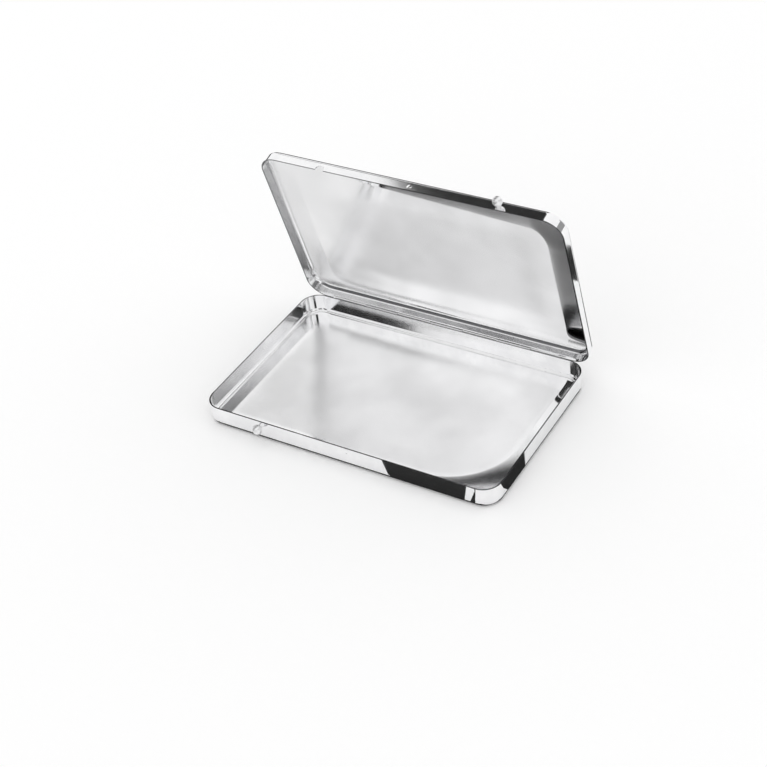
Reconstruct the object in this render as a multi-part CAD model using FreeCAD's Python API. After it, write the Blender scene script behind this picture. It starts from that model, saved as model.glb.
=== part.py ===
import FreeCAD, Part
import math
import os

# Flat hinged sterilization case for small instruments, shown with its lid standing open.
# Millimetres. X runs along the hinge, Y from the front wall to the hinge, Z up.
# The origin is the middle of the case's footprint, on its underside.

V = FreeCAD.Vector
X_AXIS = V(1, 0, 0)
Y_AXIS = V(0, 1, 0)
Z_AXIS = V(0, 0, 1)

# Sheet-metal shells
lid_length = 150.0
lid_width = 95.0
closed_height = 13.0
base_depth = 10.0
wall_overlap = 3.2
sheet = 0.6
side_clearance = 0.15
lid_corner_radius = 9.5
foot_radius = 2.5

# Ball knobs
knob_ball_radius = 2.25
knob_standoff = 3.0
knob_neck_radius = 1.1
knob_shank_radius = 0.8
knob_tail_radius = 1.15
knob_tail_depth = 0.35
base_knob_x = -42.0
base_knob_drop = 2.0
lid_knob_x = 45.5
lid_knob_rise = 2.0

# Finger notch in the lid's front rim, which drops over the base's knob
notch_width = 4.3
notch_clearance = 0.3

# Pips pressed in the middle of both front walls
pip_x = 2.8
pip_drop = 1.5
pip_radius = 1.2
pip_depth = 0.3

# Piano hinge
knuckle_count = 7
hinge_length = 124.0
knuckle_gap = 0.16
leaf_sheet = 0.5
pin_radius = 0.8
pin_clearance = 0.04
pin_overhang = 0.3
pin_chamfer = 0.2
barrel_clearance = 0.15
seam_gap = 0.12
base_leaf_drop = 2.2
base_leaf_width = 1.9
lid_leaf_rise = 1.3
lid_leaf_width = 2.2
leaf_corner_radius = 0.8
relief_height = 1.0
relief_side = 0.4

# Lid angle from closed, as the case is shown
lid_angle = 75.0

# A hair of play where a riveted tail fills its hole
rivet_play = 0.02

# Sizes worked out from the driving ones
base_length = lid_length - 2 * (sheet + side_clearance)
base_width = lid_width - 2 * (sheet + side_clearance)
base_corner_radius = lid_corner_radius - sheet - side_clearance
lid_rim_z = base_depth - wall_overlap
lid_depth = closed_height - lid_rim_z
base_front_y = -base_width / 2
base_back_y = base_width / 2
lid_front_y = -lid_width / 2
lid_back_y = lid_width / 2
knuckle_radius = pin_radius + pin_clearance + leaf_sheet
hinge_y = lid_back_y + barrel_clearance + knuckle_radius
hinge_z = lid_rim_z
base_knob_z = base_depth - base_knob_drop
lid_knob_z = lid_rim_z + lid_knob_rise
pip_z = base_depth - pip_drop
reach = lid_length + lid_width


def block(low, high):
    """Box between two corners."""
    size = high - low
    return Part.makeBox(size.x, size.y, size.z, low)


def rounded_block(length, width, height, corner, foot):
    """Upright block centred on Z, with round corners and a rounded foot."""
    solid = block(V(-length / 2, -width / 2, 0), V(length / 2, width / 2, height))
    uprights = [e for e in solid.Edges if abs(e.Vertexes[0].Z - e.Vertexes[1].Z) > height / 2]
    solid = solid.makeFillet(corner, uprights)
    foot_edges = [e for e in solid.Edges if e.BoundBox.ZMax < height / 2]
    return solid.makeFillet(foot, foot_edges)


def tray(length, width, depth, corner):
    """Pressed shell, open upwards, standing on its outer face at z = 0."""
    outer = rounded_block(length, width, depth, corner, foot_radius)
    inner = rounded_block(
        length - 2 * sheet, width - 2 * sheet, depth, corner - sheet, max(foot_radius - sheet, sheet / 2)
    )
    inner.translate(V(0, 0, sheet))
    return outer.cut(inner)


def upside_down(solid, top_z):
    """Turn a tray over so that its outer face is at top_z."""
    turned = solid.copy()
    turned.rotate(V(0, 0, 0), X_AXIS, 180)
    turned.translate(V(0, 0, top_z))
    return turned


def revolve_about_y(points, place):
    """Solid of revolution about a line along -Y through place; points are (radius, distance outwards)."""
    profile = Part.makePolygon([V(r, -d, 0) for r, d in points + points[:1]])
    solid = Part.Face(profile).revolve(V(0, 0, 0), Y_AXIS, 360)
    solid.translate(place)
    return solid


def rivet_hole(x, front_y, z, play):
    """Shape of a knob's tail through a front wall, countersunk at the inside."""
    shank = knob_shank_radius + play
    tail = knob_tail_radius + play
    inside = -sheet
    points = [(0, inside), (tail, inside), (shank, inside + knob_tail_depth), (shank, 0), (0, 0)]
    return revolve_about_y(points, V(x, front_y, z))


def knob(x, front_y, z):
    """Turned ball on a round neck, riveted flush through the wall."""
    rise = math.sqrt(knob_ball_radius**2 - knob_neck_radius**2)
    root = V(knob_neck_radius, 0, 0)
    throat = V(knob_neck_radius, rise - knob_standoff, 0)
    equator = V(knob_ball_radius, -knob_standoff, 0)
    crown = V(0, -knob_standoff - knob_ball_radius, 0)
    edges = [
        Part.makeLine(V(0, 0, 0), root),
        Part.makeLine(root, throat),
        Part.Arc(throat, equator, crown).toShape(),
        Part.makeLine(crown, V(0, 0, 0)),
    ]
    body = Part.Face(Part.Wire(edges)).revolve(V(0, 0, 0), Y_AXIS, 360)
    body.translate(V(x, front_y, z))
    return body.fuse(rivet_hole(x, front_y, z, 0)).removeSplitter()


def pip(front_y):
    """Ball that presses a shallow dent into a front wall."""
    ball_radius = (pip_radius**2 + pip_depth**2) / (2 * pip_depth)
    return Part.makeSphere(ball_radius, V(pip_x, front_y + pip_depth - ball_radius, pip_z))


def base_tray():
    shell = tray(base_length, base_width, base_depth, base_corner_radius)
    shell = shell.cut(rivet_hole(base_knob_x, base_front_y, base_knob_z, rivet_play))
    inner_side = block(V(-reach, base_front_y + sheet, 0), V(reach, 0, reach))
    bump = pip(base_front_y + sheet).common(inner_side)
    return shell.fuse(bump).cut(pip(base_front_y)).removeSplitter()


def notch():
    """Round-topped cutter through the lid's front wall over the base's knob."""
    top_z = base_knob_z + knob_neck_radius + notch_clearance
    round_radius = notch_width / 2
    centre_z = top_z - round_radius
    through = 4 * sheet
    start = V(base_knob_x, lid_front_y - through / 2, centre_z)
    head = Part.makeCylinder(round_radius, through, start, Y_AXIS)
    low = V(base_knob_x - round_radius, start.y, lid_rim_z - through)
    high = V(base_knob_x + round_radius, start.y + through, centre_z)
    return head.fuse(block(low, high))


def hinge_relief():
    """Cutter that clears the lid's back rim from the hinge barrel."""
    half = hinge_length / 2 + relief_side
    low = V(-half, lid_back_y - 2 * sheet, lid_rim_z - sheet)
    high = V(half, lid_back_y + sheet, lid_rim_z + relief_height)
    return block(low, high)


def lid_tray():
    shell = upside_down(tray(lid_length, lid_width, lid_depth, lid_corner_radius), closed_height)
    shell = shell.cut(notch()).cut(hinge_relief()).cut(pip(lid_front_y))
    return shell.cut(rivet_hole(lid_knob_x, lid_front_y, lid_knob_z, rivet_play))


def section(points, x, length):
    """Closed outline of (y, z) points extruded along X."""
    wire = Part.makePolygon([V(x, y, z) for y, z in points + points[:1]])
    return Part.Face(wire).extrude(V(length, 0, 0))


def knuckle(x, length, leaf_y, leaf_z, climb):
    """Finger that leaves the leaf's middle line at (leaf_y, leaf_z) and curls round the pin.

    climb is 1 for a finger that rises to the barrel and -1 for one that comes down to it.
    """
    mid_radius = knuckle_radius - leaf_sheet / 2
    to_axis_y = hinge_y - leaf_y
    to_axis_z = hinge_z - leaf_z
    distance = math.hypot(to_axis_y, to_axis_z)
    turn = climb * math.asin(mid_radius / distance)
    heading = math.atan2(to_axis_z, to_axis_y) + turn
    along_y = math.cos(heading)
    along_z = math.sin(heading)
    inward_y = climb * along_z
    inward_z = -climb * along_y
    run = math.sqrt(distance**2 - mid_radius**2)
    half = leaf_sheet / 2

    def point(forward, inward):
        return (leaf_y + forward * along_y + inward * inward_y, leaf_z + forward * along_z + inward * inward_z)

    elbow = Part.makeCylinder(half, length, V(x, leaf_y, leaf_z), X_AXIS)
    strip = section([point(0, -half), point(run, -half), point(run, half), point(0, half)], x, length)
    start = V(x, hinge_y, hinge_z)
    barrel = Part.makeCylinder(knuckle_radius, length, start, X_AXIS)
    bore = Part.makeCylinder(knuckle_radius - leaf_sheet, length, start, X_AXIS)
    seam_back = run - 2 * knuckle_radius
    seam_points = [
        point(seam_back, half),
        point(run, half),
        point(run, half + seam_gap),
        point(seam_back, half + seam_gap),
    ]
    seam = section(seam_points, x, length)
    return elbow.fuse([strip, barrel.cut(bore).cut(seam)])


def leaf_plate(back_y, low_z, high_z, rounded_low):
    """Flat strip against a back wall, with the two corners away from the barrel rounded."""
    half = hinge_length / 2
    plate = block(V(-half, back_y, low_z), V(half, back_y + leaf_sheet, high_z))
    far_z = low_z if rounded_low else high_z
    corners = [
        e
        for e in plate.Edges
        if abs(e.BoundBox.ZMin - far_z) + abs(e.BoundBox.ZMax - far_z) < sheet and e.BoundBox.XLength < sheet
    ]
    radius = min(leaf_corner_radius, 0.4 * (high_z - low_z))
    return plate.makeFillet(radius, corners)


def knuckle_places(first):
    """Start and length along X of every second knuckle, counted from first."""
    pitch = hinge_length / knuckle_count
    for index in range(first, knuckle_count, 2):
        left_gap = 0 if index == 0 else knuckle_gap / 2
        right_gap = 0 if index == knuckle_count - 1 else knuckle_gap / 2
        yield -hinge_length / 2 + index * pitch + left_gap, pitch - left_gap - right_gap


def base_hinge_leaf():
    leaf_z = hinge_z - base_leaf_drop
    leaf = leaf_plate(base_back_y, leaf_z - base_leaf_width, leaf_z, True)
    fingers = [
        knuckle(x, length, base_back_y + leaf_sheet / 2, leaf_z, 1)
        for x, length in knuckle_places(0)
    ]
    return leaf.fuse(fingers).removeSplitter()


def lid_hinge_leaf():
    leaf_z = hinge_z + lid_leaf_rise
    leaf = leaf_plate(lid_back_y, leaf_z, leaf_z + lid_leaf_width, False)
    fingers = [
        knuckle(x, length, lid_back_y + leaf_sheet / 2, leaf_z, -1)
        for x, length in knuckle_places(1)
    ]
    return leaf.fuse(fingers).removeSplitter()


def hinge_pin():
    length = hinge_length + 2 * pin_overhang
    pin = Part.makeCylinder(pin_radius, length, V(-length / 2, hinge_y, hinge_z), X_AXIS)
    ends = [e for e in pin.Edges if e.BoundBox.XLength < pin_radius / 2]
    return pin.makeChamfer(pin_chamfer, ends)


def opened(solid):
    """Swing a piece of the lid from closed to the angle at which the case is shown."""
    swung = solid.copy()
    swung.rotate(V(0, hinge_y, hinge_z), X_AXIS, -lid_angle)
    return swung


pieces = {
    "base_tray": base_tray(),
    "lid_tray": opened(lid_tray()),
    "base_hinge_leaf": base_hinge_leaf(),
    "lid_hinge_leaf": opened(lid_hinge_leaf()),
    "hinge_pin": hinge_pin(),
    "base_knob": knob(base_knob_x, base_front_y, base_knob_z),
    "lid_knob": opened(knob(lid_knob_x, lid_front_y, lid_knob_z)),
}

os.makedirs("parts", exist_ok=True)
for name, shape in pieces.items():
    shape.exportStep("parts/" + name + ".step")
    print(name, len(shape.Solids), "solid", round(shape.Volume, 1), "mm3", shape.isValid())
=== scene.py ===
import math

import bpy
from mathutils import Matrix, Vector

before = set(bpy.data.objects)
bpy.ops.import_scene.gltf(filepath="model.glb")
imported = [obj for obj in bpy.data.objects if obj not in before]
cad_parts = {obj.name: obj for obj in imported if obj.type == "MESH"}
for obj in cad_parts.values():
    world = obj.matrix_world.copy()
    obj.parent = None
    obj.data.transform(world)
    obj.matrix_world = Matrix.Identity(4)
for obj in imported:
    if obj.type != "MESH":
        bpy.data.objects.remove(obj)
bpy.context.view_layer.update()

# Metres. The case stands on z = 0 with its front wall towards -Y and its hinge along X at the back.
MM = 0.001

# Photograph, 767 pixels square, and the camera fitted to its edges: degrees, azimuth from +Y towards +X
PHOTO_PIXELS = 767
SENSOR_WIDTH_MM = 36.0
FOCAL_PIXELS = 1617.2
CAMERA_AZIMUTH = 145.20
CAMERA_ELEVATION = 38.64
CAMERA_ROLL = -7.39
CAMERA_DISTANCE = 748.3 * MM
CAMERA_TARGET = Vector((-11.9, 9.0, 0.0)) * MM
NEAR_CLIP = 0.01
FAR_CLIP = 50.0

# Case: the lid's outline, the base's depth, sheet, play between the walls, hinge line and shown lid angle
LID_LENGTH = 150.0 * MM
LID_WIDTH = 95.0 * MM
LID_CORNER = 9.5 * MM
BASE_DEPTH = 10.0 * MM
SHEET = 0.6 * MM
PLAY = 0.15 * MM
HINGE_Y = 48.99 * MM
HINGE_Z = 6.8 * MM
LID_ANGLE = math.radians(75)
HINGE = Vector((0.0, HINGE_Y, HINGE_Z))
LID_INWARD = Vector((0.0, -math.sin(LID_ANGLE), -math.cos(LID_ANGLE)))
LID_TOWARDS_HINGE = Vector((0.0, math.cos(LID_ANGLE), -math.sin(LID_ANGLE)))

# Trays: "inward" points out of the open side, and the sizes are those of the inner faces. The dish is a
# slight slope of the plate's border. Its outline lies beyond the left, right, front and back wall by given
# lengths and leans out over the front wall towards the left. The squeeze makes it narrower at both ends.
# The heel is a like slope in front of the hinge. The satin is the roughness of the plate's inside, and
# reaches the left wall where satin_left is 1. The crease is the strength of the painted shade, a dark
# line painted into the colour along the fold at the hinge.
LID_TRAY = {
    "inward": LID_INWARD,
    "towards_hinge": LID_TOWARDS_HINGE,
    "rim": HINGE.dot(LID_INWARD),
    "across_shift": HINGE_Y - HINGE.dot(LID_TOWARDS_HINGE),
    "half_length": LID_LENGTH / 2 - SHEET,
    "half_width": LID_WIDTH / 2 - SHEET,
    "corner": LID_CORNER - SHEET,
    "dish_width": 18.0 * MM,
    "dish_depth": 2.35 * MM,
    "dish_corner": 28.0 * MM,
    "dish_beyond": (0.0, 0.0, 3.0 * MM, 20.0 * MM),
    "dish_lean": 0.064,
    "dish_squeeze": 1.5,
    "heel": 4.0 * MM,
    "satin_left": 1.0,
    "satin": (0.23, 0.265),
    "crease": 0.95,
}
BASE_TRAY = {
    "inward": Vector((0.0, 0.0, 1.0)),
    "towards_hinge": Vector((0.0, 1.0, 0.0)),
    "rim": BASE_DEPTH,
    "across_shift": 0.0,
    "half_length": LID_TRAY["half_length"] - PLAY - SHEET,
    "half_width": LID_TRAY["half_width"] - PLAY - SHEET,
    "corner": LID_TRAY["corner"] - PLAY - SHEET,
    "dish_width": 8.0 * MM,
    "dish_depth": 1.85 * MM,
    "dish_corner": 40.0 * MM,
    "dish_beyond": (32.0 * MM, 0.0, 0.0, 32.0 * MM),
    "dish_lean": 0.0,
    "dish_squeeze": 1.0,
    "heel": 0.0,
    "satin_left": 0.0,
    "satin": (0.2, 0.25),
    "crease": 0.15,
}

# Slopes of the plates and walls, drawn by bump
DISH_CURVE = 1.15
HEEL_WIDTH = 14.5 * MM
HEEL_CURVE = 2.5
DRAFT_HEIGHT = BASE_DEPTH
DRAFT_SHIFT = 0.35 * MM
WAVE_HEIGHT = 0.1 * MM

# Cosine to the plate's own direction, or to the front for the back wall, over which a mask fades in
FLAT_FACING = (0.93, 0.995)
INSIDE_FACING = (0.93, 0.99)
BENT_FACING = (0.25, 0.55)
BACK_WALL_FACING = (0.8, 0.97)

# Tones of the sheet steel
PLATE_TONES = ((0.84, 0.84, 0.845, 1.0), (0.97, 0.97, 0.975, 1.0))
WALL_TONES = ((0.89, 0.89, 0.9, 1.0), (0.95, 0.95, 0.955, 1.0))
# Painted shade: the rim's cut edge is painted dark
RIM_PAINTED_SHADE_TONE = (0.16, 0.16, 0.165, 1.0)
# Painted shade: the dark line painted into the fold at the hinge
CREASE_PAINTED_SHADE_TONE = (0.09, 0.09, 0.095, 1.0)
CLOUD_SPAN = (0.32, 0.68)
MOTTLE_SPAN = (0.3, 0.7)

# Distances from the walls' inner faces: the middle of the sheet, the painted shade line in the crease
# and its strip at the hinge. Drops below the rim: the rim's cut edge, painted dark as shade.
SHEET_MIDDLE = (-SHEET * 2 / 3, -SHEET / 3)
CREASE_START = (0.0, 0.2 * MM)
CREASE_END = (0.9 * MM, 1.4 * MM)
CREASE_STRIP = (3.0 * MM, 1.5 * MM)
RIM_PAINTED_SHADE_DROPS = (0.1 * MM, 0.05 * MM)

# Roughness of the sheet steel, and where the satin fades in: in widths of the dish, and along X at the left
POLISHED = 0.05
WALL_ROUGHNESS = (0.05, 0.09)
OUTSIDE_ROUGHNESS = (0.23, 0.265)
SATIN_FROM_WALL = (0.7, 1.4)
SATIN_FROM_DISH = (1.0, 1.4)
SATIN_LEFT = (-50.0 * MM, -15.0 * MM)

# Knobs, hinge strip and pin
KNOB_TONES = ((0.86, 0.86, 0.865, 1.0), (0.93, 0.93, 0.935, 1.0))
KNOB_ROUGHNESS = (0.28, 0.34)
HINGE_TONES = ((0.6, 0.6, 0.61, 1.0), (0.72, 0.72, 0.725, 1.0))
HINGE_ROUGHNESS = (0.2, 0.34)
PIN_TONES = ((0.66, 0.66, 0.67, 1.0), (0.8, 0.8, 0.81, 1.0))
PIN_ROUGHNESS = (0.18, 0.32)

# Heights of the finest marks
SHEET_GRAIN = 0.0016 * MM
KNOB_MARKS = 0.002 * MM
HINGE_LINES = 0.004 * MM
PIN_LINES = 0.003 * MM

# Sockets of a Mix node: both values and the result
MIX_SOCKETS = {"FLOAT": (2, 3, 0), "VECTOR": (4, 5, 1), "RGBA": (6, 7, 2)}

# Studio table and card finish
TABLE_HALF = 3.0
TABLE_DROP = 0.02 * MM
TABLE_ROUGHNESS = 0.9
CARD_ROUGHNESS = 1.0
BLACK_TONE = 0.03
GREY_TONE = 0.32

# Black cards lying round and under the case: height above the table and corners over X and Y, millimetres
CARD_HEIGHT_MM = 0.1
LYING_CARDS = {
    "card_front": [(13, -57), (55.7, -57), (59.8, -47.2), (23.5, -47.2)],
    "card_right": [(75, -32), (84, -32), (84, -5), (80, -7), (75, -16)],
    "card_far_right": [(112, 116), (132, 116), (132, 143), (112, 143)],
    "card_left_front": [(-900, -900), (-20, -900), (-20, -130), (-80, -60), (-900, -60)],
    "card_front_corner": [(60.2, -57), (62.2, -57), (64.5, -47.4), (62.2, -47.4)],
    # This black sheet lies under the case, where there is only shade: a painted shadow, which the foot's
    # rounding reflects as a dark line.
    "painted_shadow_card_under": [
        (-75.3, -40), (-68, -47.7), (68, -47.7), (75.3, -40),
        (75.3, 40), (68, 47.7), (-68, 47.7), (-75.3, 40),
    ],
    "card_behind": [
        (30, 200), (30, 170), (66, 110), (78, 70), (84, 73), (88, 84), (92, 95),
        (96, 108), (96, 120), (94, 132), (89, 145), (82, 158), (70, 178), (50, 200),
    ],
}

# Black card hanging in front of the case, corners in millimetres
HANGING_CARD = [(20, -80, 96), (80, -80, 96), (80, -80, 150), (20, -80, 150)]

# Flags far away, azimuths from +Y towards +X and elevations in degrees
FLAG_DISTANCE = 2.5
FLAG_STEPS = 8
BLACK_FLAGS = {
    "flag_high_left": ((-114, -64), (34, 78)),
    "flag_back_high": ((-52, -20), (45, 75)),
    "flag_back_low": ((-50, -12), (5, 30)),
    "flag_front_left": ((-147.3, -129), (29, 38)),
    "flag_left": ((-134, -107), (8, 38)),
    "flag_right": ((88, 100), (40, 50)),
    "flag_right_low": ((94, 112), (14, 32)),
    "flag_left_low": ((-100, -52), (1, 12)),
    "flag_front_right": ((155, 178), (4, 16)),
    "flag_right_front": ((110, 134), (38, 48)),
}
GREY_FLAGS = {
    "flag_right_back": ((36, 75), (2, 30)),
    "flag_back_middle": ((-34, -12), (32, 45)),
}


class Nodes:
    """Short way to build a material's node tree."""

    def __init__(self, tree):
        self.tree = tree

    def add(self, kind, **settings):
        node = self.tree.nodes.new(kind)
        for key, value in settings.items():
            setattr(node, key, value)
        return node

    def link(self, source, target):
        self.tree.links.new(source, target)

    def feed(self, socket, value):
        """Link an output to a socket, or set the socket's own value."""
        if isinstance(value, bpy.types.NodeSocket):
            self.link(value, socket)
        else:
            socket.default_value = value

    def maths(self, operation, first, second=0.0):
        node = self.add("ShaderNodeMath", operation=operation)
        self.feed(node.inputs[0], first)
        self.feed(node.inputs[1], second)
        return node.outputs[0]

    def product(self, *values):
        result = values[0]
        for value in values[1:]:
            result = self.maths("MULTIPLY", result, value)
        return result

    def remap(self, value, span, result=(0.0, 1.0), smooth=True):
        """Span of numbers mapped to another one, by a smooth step or by a straight line without ends."""
        kind = "SMOOTHSTEP" if smooth else "LINEAR"
        node = self.add("ShaderNodeMapRange", interpolation_type=kind, clamp=smooth)
        self.feed(node.inputs["Value"], value)
        for key, number in zip(("From Min", "From Max", "To Min", "To Max"), (*span, *result)):
            self.feed(node.inputs[key], number)
        return node.outputs["Result"]

    def ramp(self, value, span, curve):
        """Zero before the span, then a rise to one at its end, steeper towards the end."""
        straight = self.remap(value, span, smooth=False)
        return self.maths("POWER", self.maths("MAXIMUM", straight, 0.0), curve)

    def mix(self, kind, factor, first, second):
        node = self.add("ShaderNodeMix", data_type=kind)
        first_socket, second_socket, result = MIX_SOCKETS[kind]
        for socket, value in ((0, factor), (first_socket, first), (second_socket, second)):
            self.feed(node.inputs[socket], value)
        return node.outputs[result]

    def blend(self, factor, first, second):
        """Number between first and second."""
        return self.mix("FLOAT", factor, first, second)

    def tint(self, factor, first, second):
        """Colour between first and second."""
        return self.mix("RGBA", factor, first, second)

    def dot(self, vector, direction):
        node = self.add("ShaderNodeVectorMath", operation="DOT_PRODUCT")
        self.link(vector, node.inputs[0])
        node.inputs[1].default_value = direction
        return node.outputs["Value"]

    def noise(self, vector, scale, detail, roughness):
        node = self.add("ShaderNodeTexNoise")
        self.link(vector, node.inputs["Vector"])
        node.inputs["Scale"].default_value = scale
        node.inputs["Detail"].default_value = detail
        node.inputs["Roughness"].default_value = roughness
        return node.outputs["Fac"]

    def lines(self, vector, stretch, detail, roughness):
        """Noise that is drawn out into lines along the axes with the smaller stretch."""
        node = self.add("ShaderNodeMapping")
        self.link(vector, node.inputs["Vector"])
        node.inputs["Scale"].default_value = stretch
        return self.noise(node.outputs["Vector"], scale=1.0, detail=detail, roughness=roughness)

    def bump(self, height, distance, normal=None):
        node = self.add("ShaderNodeBump")
        self.link(height, node.inputs["Height"])
        node.inputs["Distance"].default_value = distance
        node.inputs["Strength"].default_value = 1.0
        if normal is not None:
            self.link(normal, node.inputs["Normal"])
        return node.outputs["Normal"]


def new_metal(name):
    """Material with a metallic shader, its nodes and the object's own coordinates."""
    material = bpy.data.materials.new(name)
    material.use_nodes = True
    nodes = Nodes(material.node_tree)
    shader = material.node_tree.nodes["Principled BSDF"]
    shader.inputs["Metallic"].default_value = 1.0
    place = nodes.add("ShaderNodeTexCoord")
    return material, nodes, shader, place


def finish_metal(nodes, shader, tone, roughness, normal):
    """Link a metal's outputs to its shader."""
    nodes.link(tone, shader.inputs["Base Color"])
    nodes.link(roughness, shader.inputs["Roughness"])
    nodes.link(normal, shader.inputs["Normal"])


def border_distance(nodes, half_length, half_width, corner, along, across):
    """Distance inwards from an oblong outline with rounded corners, measured over the plate."""
    over_x = nodes.maths("SUBTRACT", nodes.maths("ABSOLUTE", along), half_length - corner)
    over_y = nodes.maths("SUBTRACT", nodes.maths("ABSOLUTE", across), half_width - corner)
    side_x = nodes.maths("MAXIMUM", over_x, 0.0)
    side_y = nodes.maths("MAXIMUM", over_y, 0.0)
    squares = nodes.maths("ADD", nodes.product(side_x, side_x), nodes.product(side_y, side_y))
    inside = nodes.maths("MINIMUM", nodes.maths("MAXIMUM", over_x, over_y), 0.0)
    return nodes.maths("SUBTRACT", corner, nodes.maths("ADD", nodes.maths("SQRT", squares), inside))


def dish_distance(nodes, tray, along, across):
    """Distance inwards from the outline of a tray's dish."""
    left, right, front, back = tray["dish_beyond"]
    half_length = (tray["half_length"] + (left + right) / 2) * tray["dish_squeeze"]
    half_width = tray["half_width"] + (front + back) / 2
    dish_along = nodes.maths("SUBTRACT", along, (right - left) / 2)
    dish_along = nodes.product(dish_along, tray["dish_squeeze"])
    lean = nodes.product(nodes.maths("SUBTRACT", tray["half_length"], along), tray["dish_lean"])
    dish_across = nodes.maths("ADD", nodes.maths("SUBTRACT", across, (back - front) / 2), lean)
    return border_distance(nodes, half_length, half_width, tray["dish_corner"], dish_along, dish_across)


class TrayPoint:
    """Where a point lies on a tray, as outputs of its material's nodes."""

    def __init__(self, nodes, place, tray):
        self.tray = tray
        self.spot = place.outputs["Object"]
        self.normal = place.outputs["Normal"]
        split = nodes.add("ShaderNodeSeparateXYZ")
        nodes.link(self.spot, split.inputs[0])
        self.along = split.outputs["X"]
        self.across = nodes.maths("ADD", nodes.dot(self.spot, tray["towards_hinge"]), tray["across_shift"])
        self.depth = nodes.dot(self.spot, tray["inward"])
        self.facing = nodes.dot(self.normal, tray["inward"])
        self.flat = nodes.remap(nodes.maths("ABSOLUTE", self.facing), FLAT_FACING)
        self.inner = nodes.remap(self.facing, INSIDE_FACING)
        outline = (tray["half_length"], tray["half_width"], tray["corner"])
        self.edge = border_distance(nodes, *outline, self.along, self.across)
        self.dish_edge = dish_distance(nodes, tray, self.along, self.across)
        self.mottle = nodes.noise(self.spot, scale=140.0, detail=3.0, roughness=0.6)


def painted_crease_shade_mask(nodes, point):
    """Painted shade: a thin dark line painted in the fold between the plate and the wall at the hinge."""
    starts = nodes.remap(point.edge, CREASE_START)
    ends = nodes.remap(point.edge, CREASE_END, (1.0, 0.0))
    near_hinge = nodes.remap(point.across, [point.tray["half_width"] - gap for gap in CREASE_STRIP])
    bent = nodes.remap(point.facing, BENT_FACING, (0.0, point.tray["crease"]))
    return nodes.product(starts, ends, near_hinge, bent)


def sheet_tone(nodes, point):
    """Clouded plate and mottled walls, with painted shade: the cut edge at the rim and a line in the crease
    at the hinge are painted dark.
    """
    clouds = nodes.noise(point.spot, scale=26.0, detail=2.5, roughness=0.45)
    plate = nodes.tint(nodes.remap(clouds, CLOUD_SPAN), *PLATE_TONES)
    wall = nodes.tint(nodes.remap(point.mottle, MOTTLE_SPAN), *WALL_TONES)
    tone = nodes.tint(point.flat, wall, plate)
    # Painted shade: the rim's cut edge is painted dark
    at_rim = nodes.remap(point.depth, [point.tray["rim"] - drop for drop in RIM_PAINTED_SHADE_DROPS])
    tone = nodes.tint(nodes.product(at_rim, point.inner), tone, RIM_PAINTED_SHADE_TONE)
    # Painted shade: a dark line painted in the crease at the hinge
    return nodes.tint(painted_crease_shade_mask(nodes, point), tone, CREASE_PAINTED_SHADE_TONE)


def sheet_roughness(nodes, point):
    """Satin plates, with a polished border on the inside, and polished walls."""
    dish_width = point.tray["dish_width"]
    from_wall = nodes.remap(point.edge, [dish_width * reach for reach in SATIN_FROM_WALL])
    from_dish = nodes.remap(point.dish_edge, [dish_width * reach for reach in SATIN_FROM_DISH])
    at_left = nodes.remap(point.along, SATIN_LEFT, (point.tray["satin_left"], 0.0))
    satin = nodes.maths("MAXIMUM", nodes.maths("MINIMUM", from_wall, from_dish), at_left)
    inside = nodes.blend(satin, POLISHED, nodes.blend(point.mottle, *point.tray["satin"]))
    plate = nodes.blend(point.inner, nodes.blend(point.mottle, *OUTSIDE_ROUGHNESS), inside)
    return nodes.blend(point.flat, nodes.blend(point.mottle, *WALL_ROUGHNESS), plate)


def sheet_normal(nodes, point):
    """Slight waves, dish and heel of the inner plate, draft of the inner back wall, and grain over all."""
    tray = point.tray
    waved = nodes.bump(nodes.noise(point.spot, scale=30.0, detail=1.0, roughness=0.4), WAVE_HEIGHT)
    dish = nodes.ramp(point.dish_edge, (tray["dish_width"], 0.0), DISH_CURVE)
    heel = nodes.ramp(point.across, (tray["half_width"] - HEEL_WIDTH, tray["half_width"]), HEEL_CURVE)
    dish_mm = nodes.product(dish, tray["dish_depth"] / MM)
    heel_mm = nodes.product(heel, tray["heel"] / MM)
    dished = nodes.bump(nodes.maths("ADD", dish_mm, heel_mm), MM, normal=waved)
    normal = nodes.mix("VECTOR", point.inner, waved, dished)

    below_rim = nodes.remap(point.depth, (tray["rim"], tray["rim"] - DRAFT_HEIGHT), smooth=False)
    drafted = nodes.bump(below_rim, DRAFT_SHIFT)
    to_front = nodes.remap(nodes.dot(point.normal, -tray["towards_hinge"]), BACK_WALL_FACING)
    back_wall = nodes.product(nodes.remap(point.edge, SHEET_MIDDLE), to_front)
    normal = nodes.mix("VECTOR", back_wall, normal, drafted)

    grain = nodes.lines(point.spot, stretch=(260.0, 2600.0, 2600.0), detail=3.0, roughness=0.6)
    draw_lines = nodes.lines(point.spot, stretch=(2200.0, 2200.0, 60.0), detail=2.0, roughness=0.5)
    return nodes.bump(nodes.blend(point.flat, draw_lines, grain), SHEET_GRAIN, normal=normal)


def case_steel(name, tray):
    """Pressed stainless sheet: satin plates with soft clouds, polished walls with faint draw lines."""
    material, nodes, shader, place = new_metal(name)
    point = TrayPoint(nodes, place, tray)
    tone = sheet_tone(nodes, point)
    finish_metal(nodes, shader, tone, sheet_roughness(nodes, point), sheet_normal(nodes, point))
    return material


def turned_steel(name):
    """Ball knobs with a soft shine and faint turning marks."""
    material, nodes, shader, place = new_metal(name)
    spot = place.outputs["Object"]
    marks = nodes.lines(spot, stretch=(150.0, 5200.0, 150.0), detail=2.0, roughness=0.5)
    haze = nodes.noise(spot, scale=700.0, detail=2.0, roughness=0.5)
    tone = nodes.tint(haze, *KNOB_TONES)
    finish_metal(nodes, shader, tone, nodes.blend(haze, *KNOB_ROUGHNESS), nodes.bump(marks, KNOB_MARKS))
    return material


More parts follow.
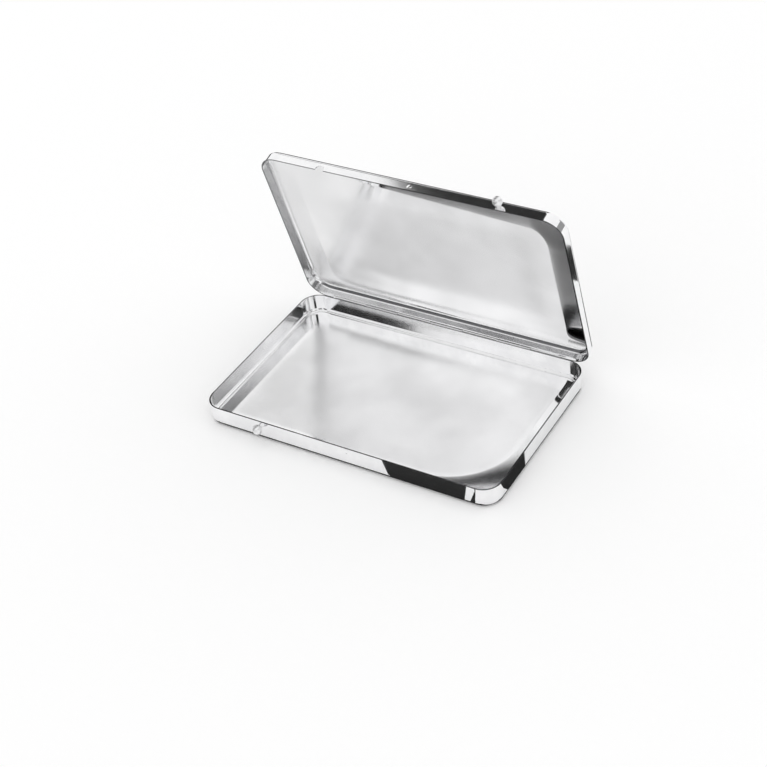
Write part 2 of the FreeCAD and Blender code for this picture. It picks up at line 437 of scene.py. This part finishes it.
def hinge_steel(name):
    """Rolled hinge strip with a satin face and lengthwise rolling lines."""
    material, nodes, shader, place = new_metal(name)
    spot = place.outputs["Object"]
    rolling = nodes.lines(spot, stretch=(90.0, 3600.0, 3600.0), detail=3.0, roughness=0.55)
    haze = nodes.noise(spot, scale=300.0, detail=2.0, roughness=0.5)
    tone = nodes.tint(haze, *HINGE_TONES)
    roughness = nodes.blend(rolling, *HINGE_ROUGHNESS)
    finish_metal(nodes, shader, tone, roughness, nodes.bump(rolling, HINGE_LINES))
    return material


def pin_steel(name):
    """Drawn wire of the hinge pin."""
    material, nodes, shader, place = new_metal(name)
    spot = place.outputs["Object"]
    drawing = nodes.lines(spot, stretch=(60.0, 4200.0, 4200.0), detail=2.0, roughness=0.5)
    tone = nodes.tint(drawing, *PIN_TONES)
    finish_metal(nodes, shader, tone, nodes.blend(drawing, *PIN_ROUGHNESS), nodes.bump(drawing, PIN_LINES))
    return material


def dress(material, *names):
    """Give CAD nodes their material."""
    for name in names:
        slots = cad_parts[name].data.materials
        slots.clear()
        slots.append(material)


def matte_material(name, tone, roughness):
    """Grey without any shine, for the studio."""
    material = bpy.data.materials.new(name)
    material.use_nodes = True
    shader = material.node_tree.nodes["Principled BSDF"]
    shader.inputs["Base Color"].default_value = (tone, tone, tone, 1.0)
    shader.inputs["Roughness"].default_value = roughness
    shader.inputs["Specular IOR Level"].default_value = 0.0
    return material


def flat_piece(name, corners, material):
    """One flat polygon of the studio, corners in metres."""
    mesh = bpy.data.meshes.new(name)
    mesh.from_pydata(corners, [], [tuple(range(len(corners)))])
    mesh.materials.append(material)
    piece = bpy.data.objects.new(name, mesh)
    bpy.context.scene.collection.objects.link(piece)
    return piece


def make_table():
    """White studio table, just below the case."""
    sides = ((-1, -1), (1, -1), (1, 1), (-1, 1))
    corners = [(x * TABLE_HALF, y * TABLE_HALF, -TABLE_DROP) for x, y in sides]
    table = flat_piece("studio_table", corners, matte_material("table_white", 1.0, TABLE_ROUGHNESS))


def make_world():
    """Even white studio dome."""
    world = bpy.data.worlds.new("studio_dome")
    world.use_nodes = True
    sky = world.node_tree.nodes["Background"]
    sky.inputs["Color"].default_value = (1.0, 1.0, 1.0, 1.0)
    sky.inputs["Strength"].default_value = 1.0
    bpy.context.scene.world = world


def make_card(name, corners_mm, material):
    """Studio card: it shows only in the metal's reflections and casts no shadow."""
    card = flat_piece(name, [Vector(corner) * MM for corner in corners_mm], material)
    card.visible_camera = False
    card.visible_diffuse = False
    card.visible_shadow = False
    card.visible_transmission = False


def direction_to(azimuth, elevation):
    """Unit vector from degrees: azimuth from +Y towards +X, elevation above the table."""
    turn = math.radians(azimuth)
    tilt = math.radians(elevation)
    return Vector((math.sin(turn) * math.cos(tilt), math.cos(turn) * math.cos(tilt), math.sin(tilt)))


def make_flag(name, azimuths, elevations, material):
    """Studio card far away, between two azimuths and two elevations."""
    first, last = azimuths
    around = [first + (last - first) * i / FLAG_STEPS for i in range(FLAG_STEPS + 1)]
    low, high = elevations
    outline = [(azimuth, low) for azimuth in around]
    outline += [(azimuth, high) for azimuth in reversed(around)]
    make_card(name, [direction_to(*corner) * FLAG_DISTANCE / MM for corner in outline], material)


def make_camera():
    """Camera at the photograph's viewpoint."""
    back = direction_to(CAMERA_AZIMUTH, CAMERA_ELEVATION)
    level = Vector((-back.y, back.x, 0.0)).normalized()
    upright = back.cross(level)
    roll = math.radians(CAMERA_ROLL)
    across = level * math.cos(roll) + upright * math.sin(roll)
    up = upright * math.cos(roll) - level * math.sin(roll)
    data = bpy.data.cameras.new("camera")
    data.sensor_width = SENSOR_WIDTH_MM
    data.lens = FOCAL_PIXELS / PHOTO_PIXELS * SENSOR_WIDTH_MM
    data.clip_start = NEAR_CLIP
    data.clip_end = FAR_CLIP
    camera = bpy.data.objects.new("camera", data)
    bpy.context.scene.collection.objects.link(camera)
    turn = Matrix((across, up, back)).transposed().to_4x4()
    camera.matrix_world = Matrix.Translation(CAMERA_TARGET + back * CAMERA_DISTANCE) @ turn
    bpy.context.scene.camera = camera


dress(case_steel("base_sheet_steel", BASE_TRAY), "base_tray")
dress(case_steel("lid_sheet_steel", LID_TRAY), "lid_tray")
dress(turned_steel("knob_turned_steel"), "base_knob", "lid_knob")
dress(hinge_steel("hinge_rolled_steel"), "base_hinge_leaf", "lid_hinge_leaf")
dress(pin_steel("pin_drawn_steel"), "hinge_pin")

make_table()
make_world()
card_black = matte_material("card_black", BLACK_TONE, CARD_ROUGHNESS)
for name, plan in LYING_CARDS.items():
    make_card(name, [(x, y, CARD_HEIGHT_MM) for x, y in plan], card_black)
make_card("card_hanging", HANGING_CARD, card_black)
for name, (azimuths, elevations) in BLACK_FLAGS.items():
    make_flag(name, azimuths, elevations, card_black)
card_grey = matte_material("card_grey", GREY_TONE, CARD_ROUGHNESS)
for name, (azimuths, elevations) in GREY_FLAGS.items():
    make_flag(name, azimuths, elevations, card_grey)
make_camera()

scene = bpy.context.scene
scene.view_settings.view_transform = "Standard"
